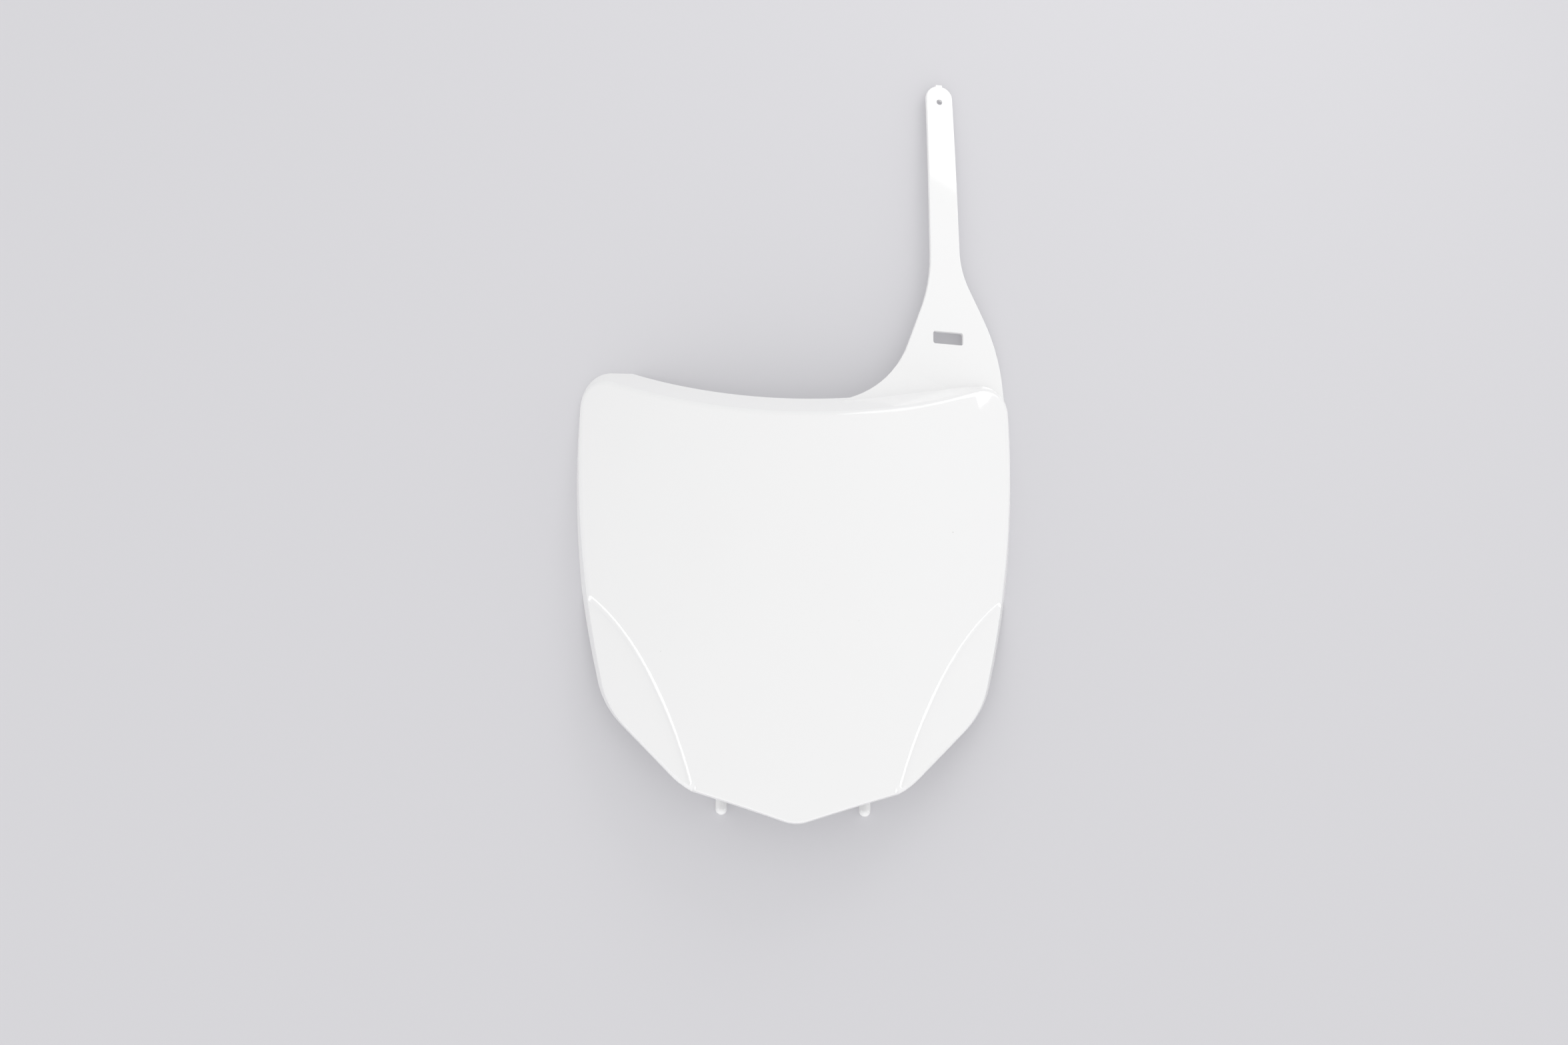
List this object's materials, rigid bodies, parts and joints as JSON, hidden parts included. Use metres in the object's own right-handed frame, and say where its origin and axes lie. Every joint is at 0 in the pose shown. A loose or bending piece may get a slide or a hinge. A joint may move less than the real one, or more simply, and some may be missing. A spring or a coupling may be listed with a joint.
{
  "type": "racing number board",
  "caption": "Curved white board that carries a racing motorbike's number, with a sloping top lip, recessed lower cheeks, a fastening strap with slot and hole, and pegs on the back.",
  "frame": {"origin": "middle of the bounding box on the floor, with the board lying on its back", "axes": "+X to the side that the strap leaves from, +Y from the lower point towards the strap's tip, +Z out of the face"},
  "size_m": [0.24, 0.432, 0.0436],
  "materials": {
    "shell": "glossy white, as moulded"
  },
  "bodies": {
    "root": {"number_board": "shell"}
  },
  "joints": []
}
